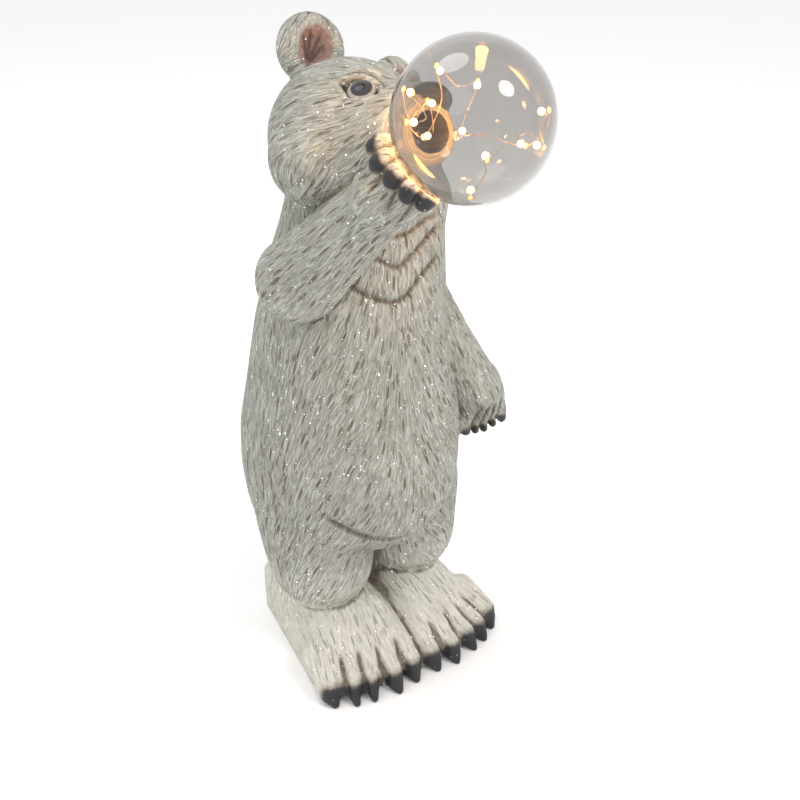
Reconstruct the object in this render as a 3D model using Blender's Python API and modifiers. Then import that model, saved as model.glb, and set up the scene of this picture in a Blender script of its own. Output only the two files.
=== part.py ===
"""Bear garden statue: a standing bear blowing a clear lighted globe.

The bear is one cast body and the globe is one glass body whose neck sits in
the bear's mouth. Metres, +Z up. The bear faces -Y, its right side is at -X,
and the origin is on the ground between its feet.
"""
import math

import bmesh
import bpy
import numpy as np
from mathutils import Matrix, Vector

# Figure: its free form is modelled in units, so many to the whole height.
HEIGHT = 0.400
UNITS_HIGH = 40.32
UNIT = HEIGHT / UNITS_HIGH

# Globe, its neck and the mouth that holds it.
GLOBE_DIAMETER = 0.0714
GLOBE_CENTRE = Vector((-1.603, -11.370, 36.721)) * UNIT
NECK_DIAMETER = 0.0188
NECK_LENGTH = 0.0120
BORE_DEPTH = 0.0150
MOUTH_CENTRE = Vector((-1.371, -7.883, 35.472)) * UNIT
FIT_GAP = 0.0003

# Head pose in degrees, and where its centre is.
HEAD_CENTRE = (-1.31, -1.04, 33.64)
HEAD_PITCH = 21.0
HEAD_ROLL = 31.5
HEAD_YAW = 3.5

# Size of the modelling grain and of the blends between forms.
GRAIN = 0.0019
BODY_BLEND = 0.0115
LIMB_BLEND = 0.0034
DETAIL_BLEND = 0.0016

# Carved lines.
CREASE_WIDTH = 0.0026
CREASE_DEPTH = 0.0022
COLLAR_DEPTH = 0.0016
TOE_GROOVE_DEPTH = 0.0034
EAR_HOLLOW_DEPTH = 0.0062

# Faces of the finished bodies.
BEAR_FACES = 8600
GLOBE_SEGMENTS = 32
GLOBE_RINGS = 18
BORE_SEGMENTS = 28

RIGHT = -1.0
LEFT = 1.0

# Torso sections: level, then side, front, half width and half depth.
TORSO_LEVELS = (11.0, 13.0, 15.5, 19.0, 22.5, 26.0, 28.5, 31.0)
TORSO_SHAPE = (
    (-0.1, -0.1, -0.1, -0.1, -0.1, 0.2, 0.4, 0.3),
    (1.7, 1.7, 1.6, 1.4, 1.2, 0.9, 0.5, 0.1),
    (6.9, 7.1, 7.0, 6.35, 5.8, 5.2, 4.7, 4.2),
    (6.5, 6.8, 6.8, 6.2, 5.6, 5.0, 4.5, 4.2),
)
TORSO_LOW = 11.0
TORSO_HIGH = 31.0
TORSO_RINGS = 40

# Claw tips of one foot from the outer toe to the inner one: side, front.
TOE_TIPS = ((6.26, -5.86), (5.07, -6.52), (3.99, -6.82), (2.29, -7.14), (0.85, -6.99))

# Claws of the raised paw, from the thumb side to the little finger.
PAW_CLAWS = (
    (-4.35, -7.94, 35.24),
    (-4.78, -8.81, 34.76),
    (-4.68, -9.75, 34.30),
    (-4.42, -10.55, 33.80),
    (-3.85, -10.95, 33.45),
)
PAW_WRIST = Vector((-3.7, -7.1, 32.2))


def clear_scene():
    for old in list(bpy.data.objects):
        bpy.data.objects.remove(old, do_unlink=True)


def head_axes():
    """Forward, up and left of the head after its turn, lift and tilt."""
    forward, up, left = Vector((0, -1, 0)), Vector((0, 0, 1)), Vector((1, 0, 0))
    yaw, pitch, roll = (math.radians(a) for a in (HEAD_YAW, HEAD_PITCH, HEAD_ROLL))
    forward, left = (forward * math.cos(yaw) + left * math.sin(yaw),
                     left * math.cos(yaw) - forward * math.sin(yaw))
    forward, up = (forward * math.cos(pitch) + up * math.sin(pitch),
                   up * math.cos(pitch) - forward * math.sin(pitch))
    left, up = (left * math.cos(roll) - up * math.sin(roll),
                up * math.cos(roll) + left * math.sin(roll))
    return forward, up, left


FORWARD, UP, SIDE = head_axes()
HEAD_TURN = Matrix((SIDE, -FORWARD, UP)).transposed()


def on_head(forward, up, side):
    return Vector(HEAD_CENTRE) + FORWARD * forward + UP * up + SIDE * side


def round_form():
    """The ball of unit radius that every rounded form is a copy of."""
    bm = bmesh.new()
    bmesh.ops.create_uvsphere(bm, u_segments=24, v_segments=16, radius=1.0)
    mesh = bpy.data.meshes.new("ball")
    bm.to_mesh(mesh)
    bm.free()
    return mesh


def ball(bm, centre, radii, turn=None):
    """An ellipsoid, its centre and radii in figure units."""
    turn = (turn or Matrix.Identity(3)).to_4x4()
    place = Matrix.Translation(Vector(centre) * UNIT)
    scale = Matrix.Diagonal((*(Vector(radii) * UNIT), 1.0))
    shape = bpy.data.meshes["ball"].copy()
    shape.transform(place @ turn @ scale)
    bm.from_mesh(shape)
    bpy.data.meshes.remove(shape)


def limb(bm, start, start_radius, end, end_radius, flat=1.0, turn=None, step=0.5):
    """A rounded taper between two points, as a row of balls."""
    start, end = Vector(start), Vector(end)
    count = max(2, math.ceil((end - start).length / step) + 1)
    for i in range(count):
        t = i / (count - 1)
        radius = start_radius + (end_radius - start_radius) * t
        ball(bm, start.lerp(end, t), (radius, radius * flat, radius), turn)


def hull(bm, balls):
    """A rounded convex block around a few balls."""
    part = bmesh.new()
    for centre, radius in balls:
        ball(part, centre, (radius, radius, radius))
    bmesh.ops.convex_hull(part, input=part.verts, use_existing_faces=False)
    inside = [v for v in part.verts if not v.link_faces]
    bmesh.ops.delete(part, geom=inside, context="VERTS")
    keep = bpy.data.meshes.new("hull")
    part.to_mesh(keep)
    part.free()
    bm.from_mesh(keep)
    bpy.data.meshes.remove(keep)


def torso_forms(bm):
    for i in range(TORSO_RINGS + 1):
        level = TORSO_LOW + (TORSO_HIGH - TORSO_LOW) * i / TORSO_RINGS
        side, front, half_width, half_depth = (
            float(np.interp(level, TORSO_LEVELS, row)) for row in TORSO_SHAPE)
        ball(bm, (side, front, level), (half_width, half_depth, 3.6))
    ball(bm, (0.0, -0.8, 13.7), (5.4, 5.0, 6.2))
    ball(bm, (0.0, 3.9, 12.6), (5.4, 4.8, 5.8))
    ball(bm, (1.1, 0.0, 29.6), (4.0, 3.9, 3.2))
    for side in (RIGHT, LEFT):
        limb(bm, (side * 3.5, 0.9, 10.0), 3.7, (side * 3.3, 0.4, 6.5), 3.35)
        limb(bm, (side * 3.1, 3.2, 7.0), 2.9, (side * 3.0, 3.2, 3.0), 2.3)
    limb(bm, (0.0, 1.8, 9.0), 2.6, (0.0, 2.2, 3.0), 2.0)
    limb(bm, (0.0, 7.0, 10.8), 1.2, (0.0, 7.6, 9.8), 0.9)


def head_forms(bm):
    ball(bm, on_head(0, 0, 0), (4.3, 4.4, 4.1), HEAD_TURN)
    for side in (RIGHT, LEFT):
        ball(bm, on_head(0.6, -1.7, side * 1.9), (2.5, 2.8, 2.6), HEAD_TURN)
        ball(bm, on_head(2.5, 1.8, side * 1.2), (1.5, 1.5, 1.0), HEAD_TURN)
    limb(bm, on_head(2.6, -0.6, 0), 2.9, on_head(5.2, -0.6, 0), 2.15)
    limb(bm, on_head(3.2, 1.0, 0), 1.6, on_head(6.2, 0.55, 0), 1.25)
    limb(bm, on_head(2.2, -2.2, 0), 2.3, on_head(5.3, -1.9, 0), 1.4)


def arm_forms(bm):
    limb(bm, (-3.2, 0.8, 26.0), 2.4, (-5.15, -1.8, 27.1), 2.4)
    limb(bm, (-5.15, -1.8, 27.1), 2.4, PAW_WRIST, 1.65)
    limb(bm, (2.6, 0.3, 25.2), 2.4, (4.9, -1.0, 20.4), 2.05)
    limb(bm, (4.9, -1.0, 20.4), 2.05, (7.2, -1.7, 16.6), 1.85)


def foot_forms(bm, side):
    hull(bm, (
        ((side * 4.55, 5.2, -0.2), 0.65), ((side * 4.55, 5.2, 2.9), 0.65),
        ((side * 0.9, 5.2, -0.2), 0.65), ((side * 0.9, 5.2, 2.9), 0.65),
        ((side * 4.1, 1.5, 3.5), 1.0), ((side * 1.3, 1.5, 3.5), 1.0),
        ((side * 4.1, -1.6, 3.1), 1.0), ((side * 1.4, -1.9, 3.2), 1.0),
        ((side * 5.75, -3.4, -0.2), 0.75), ((side * 5.2, -3.3, 1.6), 0.8),
        ((side * 0.8, -5.3, -0.2), 0.7), ((side * 0.9, -4.9, 1.9), 0.75),
        ((side * 3.2, -4.8, 1.7), 0.85), ((side * 3.2, -5.2, -0.2), 0.85),
    ))
    for tip_side, tip_front in TOE_TIPS:
        root = (side * tip_side * 0.93, tip_front + 3.2, 1.65)
        pad = (side * tip_side * 0.985, tip_front + 1.15, 1.0)
        limb(bm, root, 1.0, pad, 0.88)


def paw_forms(bm):
    """The raised paw: a cupped palm and five fingers against the globe."""
    centre = GLOBE_CENTRE / UNIT
    middle = Vector(PAW_CLAWS[2])
    palm = PAW_WRIST.lerp(middle, 0.45)
    limb(bm, PAW_WRIST, 1.5, palm, 1.55)
    for claw in PAW_CLAWS:
        claw = Vector(claw)
        knuckle = PAW_WRIST.lerp(claw, 0.55)
        pad = claw + (centre - claw).normalized() * 0.4
        limb(bm, PAW_WRIST, 1.1, knuckle, 0.95)
        limb(bm, knuckle, 0.95, pad, 0.62)


def hand_forms(bm):
    """The hanging hand: a flat mitt with five short fingers."""
    limb(bm, (7.2, -1.7, 16.8), 1.85, (7.45, -1.85, 16.0), 1.85, flat=0.75)
    for i in range(5):
        share = i / 4 - 0.5
        root = (7.45 + share * 2.4, -2.0, 15.6)
        tip = (7.45 + share * 2.9, -2.15, 14.45 + 0.25 * abs(share) * 2)
        limb(bm, root, 0.66, tip, 0.56)


def ear_forms(bm):
    for side in (RIGHT, LEFT):
        turn = HEAD_TURN @ Matrix.Rotation(math.radians(side * 16), 3, "Z")
        ball(bm, on_head(-1.45, 4.15, side * 2.7), (1.85, 0.95, 1.95), turn)


def face_forms(bm):
    axis = (GLOBE_CENTRE - MOUTH_CENTRE).normalized()
    lips = MOUTH_CENTRE / UNIT
    across = axis.cross(UP).normalized()
    over = across.cross(axis)
    for i in range(36):
        angle = i / 36 * math.tau
        spoke = across * math.cos(angle) + over * math.sin(angle)
        ball(bm, lips - axis * 0.3 + spoke * 1.2, (0.38, 0.38, 0.38))
    limb(bm, on_head(4.9, -0.7, 0), 1.9, lips - axis * 1.0, 1.6)
    ball(bm, on_head(6.75, 1.0, 0), (0.98, 0.7, 0.62), HEAD_TURN)
    for side in (RIGHT, LEFT):
        out = (FORWARD * 0.52 + UP * 0.30 + SIDE * side * 0.80).normalized()
        along = FORWARD * 0.90 - UP * 0.22 - SIDE * side * 0.40
        along = (along - out * along.dot(out)).normalized()
        rise = out.cross(along) * -side
        eye = on_head(3.72, 0.86, side * 2.12)
        ball(bm, eye - out * 0.62, (0.85, 0.85, 0.85))
        for height in (0.66, -0.5):
            for i in range(13):
                t = i / 12 * 2 - 1
                lid = eye + along * t * 1.1 + rise * height * (1 - t * t)
                ball(bm, lid, (0.16, 0.16, 0.16))


def claw_forms(bm):
    for side in (RIGHT, LEFT):
        for tip_side, tip_front in TOE_TIPS:
            limb(bm, (side * tip_side, tip_front + 0.85, 0.62), 0.66,
                 (side * tip_side, tip_front + 0.22, 0.12), 0.24, step=0.1)
    for claw in PAW_CLAWS:
        outward = (Vector(claw) - PAW_WRIST).normalized()
        ball(bm, Vector(claw) + outward * 0.05, (0.44, 0.44, 0.44))
    for i in range(5):
        share = i / 4 - 0.5
        ball(bm, (7.45 + share * 2.9, -2.4, 14.1 + 0.5 * abs(share)), (0.36, 0.4, 0.42))


def merged(name, previous, builders, blend):
    """Join the forms to the body so far and blend them over a given radius."""
    bm = bmesh.new()
    if previous is not None:
        bm.from_mesh(previous)
    for build in builders:
        build(bm)
    rough = bpy.data.meshes.new(name)
    bm.to_mesh(rough)
    bm.free()
    body = bpy.data.objects.new(name, rough)
    bpy.context.scene.collection.objects.link(body)
    remesh = body.modifiers.new("One skin", "REMESH")
    remesh.mode = "VOXEL"
    remesh.voxel_size = GRAIN
    smooth = body.modifiers.new("Blend", "SMOOTH")
    smooth.factor = 0.5
    smooth.iterations = max(1, round((blend / GRAIN) ** 2))
    bpy.context.view_layer.update()
    evaluated = body.evaluated_get(bpy.context.evaluated_depsgraph_get())
    skin = bpy.data.meshes.new_from_object(evaluated)
    bpy.data.objects.remove(body, do_unlink=True)
    return skin


def both_feet(bm):
    foot_forms(bm, RIGHT)
    foot_forms(bm, LEFT)
    hull(bm, (
        ((-0.5, 4.9, -0.2), 0.5), ((0.5, 4.9, -0.2), 0.5),
        ((-0.5, 4.9, 2.7), 0.5), ((0.5, 4.9, 2.7), 0.5),
        ((-0.5, -5.4, -0.2), 0.5), ((0.5, -5.4, -0.2), 0.5),
        ((-0.5, -4.6, 1.4), 0.5), ((0.5, -4.6, 1.4), 0.5),
    ))


def sculpt_bear():
    round_form()
    skin = merged("body", None, (torso_forms, head_forms, arm_forms), BODY_BLEND)
    skin = merged("limbs", skin, (both_feet, paw_forms, hand_forms, ear_forms), LIMB_BLEND)
    return merged("details", skin, (face_forms, claw_forms), DETAIL_BLEND)


def smoothstep(low, high, value):
    t = np.clip((value - low) / (high - low), 0.0, 1.0)
    return t * t * (3.0 - 2.0 * t)


def groove(distance, width):
    return np.exp(-(distance / width) ** 2)


def segment_distance(points, start, end):
    """Distance of points to a segment, any number of dimensions."""
    start, end = np.asarray(start, float), np.asarray(end, float)
    along = end - start
    t = np.clip((points - start) @ along / (along @ along), 0.0, 1.0)
    return np.linalg.norm(points - start - t[:, None] * along, axis=1), t


def carved_depth(points, normals):
    """How far each point of the skin is cut in, from the carved lines."""
    figure = points / UNIT
    x, y, z = figure.T
    front = smoothstep(0.1, 0.5, -normals[:, 1])
    width = CREASE_WIDTH / UNIT
    depth = np.zeros(len(points))

    # Three collars of chest fur, each a V that dips at the middle.
    for middle, level, dip, half, side in (
            (-0.2, 29.45, 0.55, 2.6, 1.0), (-0.3, 28.6, 1.35, 2.9, 1.0),
            (-0.55, 27.0, 2.0, 3.1, 1.0)):
        line = level - dip * (1.0 - np.abs(x - middle) / half)
        inside = smoothstep(half + 0.6, half - 0.3, np.abs(x - middle))
        slope = math.hypot(1.0, dip / half)
        cut = groove((z - line) / slope, width * 0.8) * inside * front
        depth = np.maximum(depth, COLLAR_DEPTH * cut * side)

    # Hem of each leg over its foot.
    for side in (RIGHT, LEFT):
        around = np.hypot(x - side * 3.25, y - 0.6)
        lift = 4.75 + 0.12 * (x * side - 3.0) ** 2 / 2 + 0.05 * (y + 2.4)
        near = smoothstep(4.6, 3.6, around) * smoothstep(2.4, 0.5, y)
        depth = np.maximum(depth, CREASE_DEPTH * groove(z - lift, width) * near)

    # Lower edge of the belly over the legs, which climbs more at the left.
    belly = 9.8 + np.where(x < 0.0, 0.10, 0.20) * x * x
    near = smoothstep(0.5, -2.0, y) * smoothstep(5.6, 4.4, np.abs(x))
    depth = np.maximum(depth, CREASE_DEPTH * groove(z - belly, width) * near)

    # Grooves between the toes and between the feet.
    plan = figure[:, :2]
    low = smoothstep(3.6, 3.0, z)
    for side in (RIGHT, LEFT):
        for outer, inner in zip(TOE_TIPS, TOE_TIPS[1:]):
            tip = (side * (outer[0] + inner[0]) / 2, (outer[1] + inner[1]) / 2 + 0.1)
            root = (tip[0] * 0.84, tip[1] + 2.6)
            distance, t = segment_distance(plan, root, tip)
            cut = groove(distance, width * (0.45 + 0.25 * t)) * smoothstep(0.0, 0.4, t)
            depth = np.maximum(depth, TOE_GROOVE_DEPTH * cut * low)
    distance, t = segment_distance(plan, (0.0, -0.8), (0.0, -7.0))
    cut = groove(distance, width * 0.7) * smoothstep(0.0, 0.2, t)
    depth = np.maximum(depth, TOE_GROOVE_DEPTH * 0.7 * cut * smoothstep(4.6, 3.8, z))

    # Hollow of each ear.
    for side in (RIGHT, LEFT):
        turn = HEAD_TURN @ Matrix.Rotation(math.radians(side * 16), 3, "Z")
        middle = np.array(on_head(-1.45, 4.25, side * 2.7))
        local = (figure - middle) @ np.array(turn)
        ring = np.hypot(local[:, 0] / 1.2, local[:, 2] / 1.35)
        facing = smoothstep(0.0, 0.45, -(normals @ np.array(turn))[:, 1])
        close = smoothstep(2.3, 1.9, np.linalg.norm(local, axis=1))
        depth = np.maximum(depth, EAR_HOLLOW_DEPTH * smoothstep(1.05, 0.25, ring)
                           * facing * close)

    # Finger grooves of the raised paw and of the hanging hand.
    for first, second in zip(PAW_CLAWS, PAW_CLAWS[1:]):
        tip = (Vector(first) + Vector(second)) / 2
        root = PAW_WRIST.lerp(tip, 0.55)
        distance, t = segment_distance(figure, root, tip + (tip - root) * 0.3)
        cut = np.exp(-(np.maximum(distance - 0.5, 0.0) / 0.5) ** 2)
        plane = (Vector(second) - Vector(first)).normalized()
        off = np.abs((figure - np.array(tip)) @ np.array(plane))
        depth = np.maximum(depth, CREASE_DEPTH * 0.7 * cut * groove(off, 0.16))
    for i in range(4):
        share = (i + 0.5) / 4 - 0.5
        distance, t = segment_distance(figure[:, (0, 2)], (7.45 + share * 2.0, 16.2),
                                       (7.45 + share * 3.0, 13.6))
        near = smoothstep(-0.6, -1.2, y)
        cut = groove(distance, 0.17) * smoothstep(0.0, 0.35, t) * near
        depth = np.maximum(depth, CREASE_DEPTH * 0.7 * cut)
    return depth


def carve(mesh):
    count = len(mesh.vertices)
    points = np.empty(count * 3)
    mesh.vertices.foreach_get("co", points)
    points = points.reshape(-1, 3)
    normals = np.array([n.vector for n in mesh.vertex_normals])
    points = points - normals * carved_depth(points, normals)[:, None]
    mesh.vertices.foreach_set("co", points.ravel())
    mesh.update()


def collection(name):
    group = bpy.data.collections.new(name)
    bpy.context.scene.collection.children.link(group)
    return group


def material(name, colour, roughness, metallic=0.0, clear=0.0):
    made = bpy.data.materials.new(name)
    made.use_nodes = True
    shader = made.node_tree.nodes["Principled BSDF"]
    shader.inputs["Base Color"].default_value = (*colour, 1.0)
    shader.inputs["Roughness"].default_value = roughness
    shader.inputs["Metallic"].default_value = metallic
    shader.inputs["Transmission Weight"].default_value = clear
    return made


def placed(name, mesh, group, cutter=False):
    made = bpy.data.objects.new(name, mesh)
    group.objects.link(made)
    if cutter:
        made.hide_render = True
        made.display_type = "WIRE"
    return made


def rod(name, group, start, end, radius, segments, cutter=False):
    """A capped cylinder between two points."""
    bm = bmesh.new()
    axis = end - start
    turn = axis.to_track_quat("Z", "Y").to_matrix().to_4x4()
    place = Matrix.Translation((start + end) / 2) @ turn
    bmesh.ops.create_cone(bm, cap_ends=True, segments=segments, radius1=radius,
                          radius2=radius, depth=axis.length, matrix=place)
    mesh = bpy.data.meshes.new(name)
    bm.to_mesh(mesh)
    bm.free()
    return placed(name, mesh, group, cutter)


def sphere(name, group, centre, radius, segments, rings, axis, cutter=False):
    bm = bmesh.new()
    turn = axis.to_track_quat("Z", "Y").to_matrix().to_4x4()
    bmesh.ops.create_uvsphere(bm, u_segments=segments, v_segments=rings, radius=radius,
                              matrix=Matrix.Translation(centre) @ turn)
    mesh = bpy.data.meshes.new(name)
    bm.to_mesh(mesh)
    bm.free()
    return placed(name, mesh, group, cutter)


def combine(target, tool, operation):
    step = target.modifiers.new(tool.name, "BOOLEAN")
    step.operation = operation
    step.solver = "EXACT"
    step.object = tool


def main():
    clear_scene()
    parts = collection("bear_garden_statue")
    cutters = collection("cutters")
    axis = (GLOBE_CENTRE - MOUTH_CENTRE).normalized()
    globe_radius = GLOBE_DIAMETER / 2
    neck_radius = NECK_DIAMETER / 2

    skin = sculpt_bear()
    carve(skin)
    skin.name = "bear"
    bear = placed("bear", skin, parts)
    thin = bear.modifiers.new("Facets", "DECIMATE")
    skin.calc_loop_triangles()
    thin.ratio = BEAR_FACES / len(skin.loop_triangles)
    thin.use_collapse_triangulate = True
    bear.data.materials.append(material("Cast resin", (0.60, 0.58, 0.53), 0.75))

    bm = bmesh.new()
    bmesh.ops.create_cube(bm, size=HEIGHT, matrix=Matrix.Translation((0, 0, -HEIGHT / 2)))
    box = bpy.data.meshes.new("ground_cut")
    bm.to_mesh(box)
    bm.free()
    combine(bear, placed("ground_cut", box, cutters, cutter=True), "DIFFERENCE")
    seat = sphere("globe_seat", cutters, GLOBE_CENTRE, globe_radius + FIT_GAP,
                  GLOBE_SEGMENTS, GLOBE_RINGS, axis, cutter=True)
    combine(bear, seat, "DIFFERENCE")
    bore = rod("mouth_bore", cutters, MOUTH_CENTRE - axis * BORE_DEPTH,
               MOUTH_CENTRE + axis * globe_radius / 2, neck_radius + FIT_GAP,
               BORE_SEGMENTS, cutter=True)
    combine(bear, bore, "DIFFERENCE")

    globe = sphere("globe", parts, GLOBE_CENTRE, globe_radius, GLOBE_SEGMENTS,
                   GLOBE_RINGS, axis)
    neck = rod("globe_neck", cutters, MOUTH_CENTRE - axis * NECK_LENGTH,
               GLOBE_CENTRE, neck_radius, BORE_SEGMENTS, cutter=True)
    combine(globe, neck, "UNION")
    globe.data.materials.append(material("Clear glass", (0.95, 0.95, 0.94), 0.03, clear=1.0))
    globe.data.shade_smooth()


main()
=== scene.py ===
"""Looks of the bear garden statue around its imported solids.

Metres, +Z up. The bear faces -Y, and its right side is at -X.
"""
import math

import bmesh
import bpy
import numpy as np
from mathutils import Matrix, Vector, kdtree


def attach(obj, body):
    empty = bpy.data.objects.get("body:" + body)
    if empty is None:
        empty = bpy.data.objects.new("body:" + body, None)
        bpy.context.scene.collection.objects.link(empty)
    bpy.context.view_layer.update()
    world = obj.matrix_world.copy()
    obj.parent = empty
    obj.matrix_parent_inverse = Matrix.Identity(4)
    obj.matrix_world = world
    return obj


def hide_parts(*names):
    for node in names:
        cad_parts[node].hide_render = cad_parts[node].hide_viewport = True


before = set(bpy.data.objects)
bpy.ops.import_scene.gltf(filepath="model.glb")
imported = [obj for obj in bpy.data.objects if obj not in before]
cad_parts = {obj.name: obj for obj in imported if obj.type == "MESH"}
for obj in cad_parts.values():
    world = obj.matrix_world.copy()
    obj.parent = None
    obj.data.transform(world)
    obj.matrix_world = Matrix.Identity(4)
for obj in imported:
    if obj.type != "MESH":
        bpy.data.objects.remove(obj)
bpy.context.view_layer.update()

# The figure is placed in units, so many to its height.
HEIGHT = 0.400
UNITS_HIGH = 40.32
UNIT = HEIGHT / UNITS_HIGH
GLOBE_DIAMETER = 0.0714
GLOBE_CENTRE = Vector((-0.0159, -0.1128, 0.3643))
GLOBE_WALL = 0.0009
NECK_DIAMETER = 0.0188
NECK_LENGTH = 0.0120
BORE_DEPTH = 0.0150
MOUTH_CENTRE = Vector((-0.0136, -0.0782, 0.3519))
FIT_GAP = 0.0003
GLASS_INSET = 0.00005
HEAD_CENTRE = (-1.31, -1.04, 33.64)
HEAD_PITCH, HEAD_ROLL, HEAD_YAW = 21.0, 31.5, 3.5
# The skin's three stages: how wide each one blends, and how fine its grain is.
BODY_BLEND, LIMB_BLEND, DETAIL_BLEND = 0.0115, 0.0034, 0.0012
BODY_GRAIN, LIMB_GRAIN, FINE_GRAIN = 0.0021, 0.0015, 0.00112
SKIN_TRIANGLES = 196000
RIGHT, LEFT = -1.0, 1.0
TOE_TIPS = ((6.26, -5.86), (5.07, -6.52), (3.99, -6.82), (2.29, -7.14), (0.85, -6.99))
PAW_CLAWS = (
    (-4.35, -7.94, 35.24), (-4.78, -8.81, 34.76), (-4.68, -9.75, 34.30),
    (-4.42, -10.55, 33.80), (-3.85, -10.95, 33.45),
)
PAW_WRIST = Vector((-3.7, -7.1, 32.2))
RIGHT_ELBOW = (-5.14, -1.8, 27.1)
LEFT_ELBOW, LEFT_WRIST = (4.9, -1.0, 20.4), (7.2, -1.7, 16.6)
# The left hand's middle, and its fingers as shares of its width.
HAND_SIDE = 7.45
FINGER_SHARES = tuple(i / 4 - 0.5 for i in range(5))
NOSE = (6.75, 1.0, 0.0)
EAR_TURN = 16.0
EYEBALL_RADIUS, EYEBALL_SET_BACK = 1.15, 0.78
# Torso sections: level, then side, front, half width and half depth.
TORSO_LEVELS = (11.0, 13.0, 15.5, 19.0, 22.5, 26.0, 28.5, 31.0)
TORSO_SHAPE = (
    (-0.1, -0.1, -0.1, -0.1, -0.1, 0.2, 0.4, 0.3),
    (1.7, 1.7, 1.6, 1.4, 1.2, 0.9, 0.5, 0.1),
    (6.9, 7.1, 7.0, 6.35, 5.8, 5.2, 4.7, 4.2),
    (6.5, 6.8, 6.8, 6.2, 5.6, 5.0, 4.5, 4.2),
)
AXIS = (GLOBE_CENTRE - MOUTH_CENTRE).normalized()
GLOBE_RADIUS = GLOBE_DIAMETER / 2
NECK_RADIUS = NECK_DIAMETER / 2
# Bulbs inside the globe, as directions from its centre on its radius.
BULBS = (
    (-0.65, 0.55, 0.37), (-0.01, 0.75, 0.55), (-0.01, 0.93, 0.07), (-0.92, 0.09, 0.10),
    (-0.14, 0.85, -0.36), (0.42, 0.75, -0.35), (-0.42, -0.80, -0.22), (-0.28, -0.35, -0.82),
    (0.83, -0.08, -0.42), (0.59, -0.66, -0.27), (0.69, -0.61, 0.16), (0.59, 0.65, 0.30),
)
BULB_REACH = 0.90
BULB_RADII = (0.0009, 0.0010, 0.0014)
# The order in which the wire passes the bulbs, and how far out it may lie.
WIRE_ORDER = (2, 0, 3, 4, 1, 11, 5, 8, 10, 9, 6, 7)
WIRE_REACH = 0.88
WIRE_RADIUS = 0.00020
# Fur strokes: at most one to a cell, with a share of the cells left plain.
STROKE_CELL = 0.0060
STROKES_SKIPPED = 0.12
STROKE_LENGTH = (0.0055, 0.0110)
STROKE_WIDTH = (0.00065, 0.00095)
STROKE_DEPTH = 0.00048
LUMP_DEPTH = 0.00010
# Paint, as linear colours.
WHITE = (1.0, 1.0, 1.0, 1.0)
CREAM_SHADE, CREAM_LIGHT = (0.365, 0.365, 0.318, 1), (0.430, 0.430, 0.386, 1)
# The paler cream for the rises of the fur is painted light.
LEG_CREAM, RAISED_HIGHLIGHT_CREAM = (0.70, 0.675, 0.59, 1), (0.66, 0.65, 0.60, 1)
GRAIN_CREAM = (0.60, 0.60, 0.56, 1)
LINE_BROWN, STROKE_BROWN = (0.19, 0.175, 0.125, 1), (0.145, 0.118, 0.065, 1)
# The crease brown is brown wash and painted shade in creases and hollows.
CREASE_SHADE_BROWN, LIP_BROWN = (0.125, 0.092, 0.062, 1), (0.20, 0.125, 0.06, 1)
EAR_SHADE, EAR_PINK = (0.20, 0.105, 0.085, 1), (0.34, 0.21, 0.17, 1)
# Dark of the ear veins, also painted shade in the eye openings.
VEIN_AND_EYE_SHADE_DARK = (0.045, 0.03, 0.026, 1)
CLAW_EDGE, CLAW_BLACK = (0.13, 0.10, 0.075, 1), (0.026, 0.027, 0.030, 1)
# Lamps: name, place, size and power. The camera's place is in figure units.
LAMPS = (
    ("key", (0.5, -1.2, 1.6), 0.6, 11.0),
    ("fill", (-1.2, -0.6, 1.4), 1.2, 3.0),
    ("top", (-0.3, 0.5, 1.9), 0.9, 7.0),
)
GLOW_POWER, GLOW_RADIUS, GLOW_COLOUR = 0.027, 0.0015, (1.0, 0.50, 0.14)
WORLD_STRENGTH = 0.93
CAMERA_LENS, CAMERA_AZIMUTH, CAMERA_PITCH = 45.0, 35.0, 29.4
CAMERA_TARGET, CAMERA_DISTANCE = (-1.0, -5.1, 20.0), 55.6


# Head pose.
def head_axes():
    forward, up, left = Vector((0, -1, 0)), Vector((0, 0, 1)), Vector((1, 0, 0))
    yaw, pitch, roll = (math.radians(a) for a in (HEAD_YAW, HEAD_PITCH, HEAD_ROLL))
    forward, left = (forward * math.cos(yaw) + left * math.sin(yaw),
                     left * math.cos(yaw) - forward * math.sin(yaw))
    forward, up = (forward * math.cos(pitch) + up * math.sin(pitch),
                   up * math.cos(pitch) - forward * math.sin(pitch))
    left, up = (left * math.cos(roll) - up * math.sin(roll),
                up * math.cos(roll) + left * math.sin(roll))
    return forward, up, left


FORWARD, UP, SIDE = head_axes()
HEAD_TURN = Matrix((SIDE, -FORWARD, UP)).transposed()


def on_head(forward, up, side):
    return Vector(HEAD_CENTRE) + FORWARD * forward + UP * up + SIDE * side


def eye_frame(side):
    """Centre, outward, long axis and upward axis of an eye."""
    centre = on_head(3.72, 0.86, side * 2.12)
    out = (FORWARD * 0.52 + UP * 0.30 + SIDE * side * 0.80).normalized()
    along = FORWARD * 0.90 - UP * 0.22 + SIDE * side * -0.40
    along = (along - out * along.dot(out)).normalized()
    rise = out.cross(along)
    if rise.dot(UP) < 0:
        rise = -rise
    return centre, out, along, rise


# Forms. The solid has them too, with a lower strip between the feet, softer
# folds and plainer eyes.
def round_form():
    bm = bmesh.new()
    bmesh.ops.create_uvsphere(bm, u_segments=24, v_segments=16, radius=1.0)
    mesh = bpy.data.meshes.new("ball")
    bm.to_mesh(mesh)
    bm.free()
    return mesh


BALL = round_form()


def ball(bm, centre, radii, turn=None):
    """A ball or ellipsoid in figure units."""
    turn = (turn or Matrix.Identity(3)).to_4x4()
    shape = BALL.copy()
    shape.transform(Matrix.Translation(Vector(centre) * UNIT) @ turn
                    @ Matrix.Diagonal((*(Vector(radii) * UNIT), 1.0)))
    bm.from_mesh(shape)
    bpy.data.meshes.remove(shape)


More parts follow.
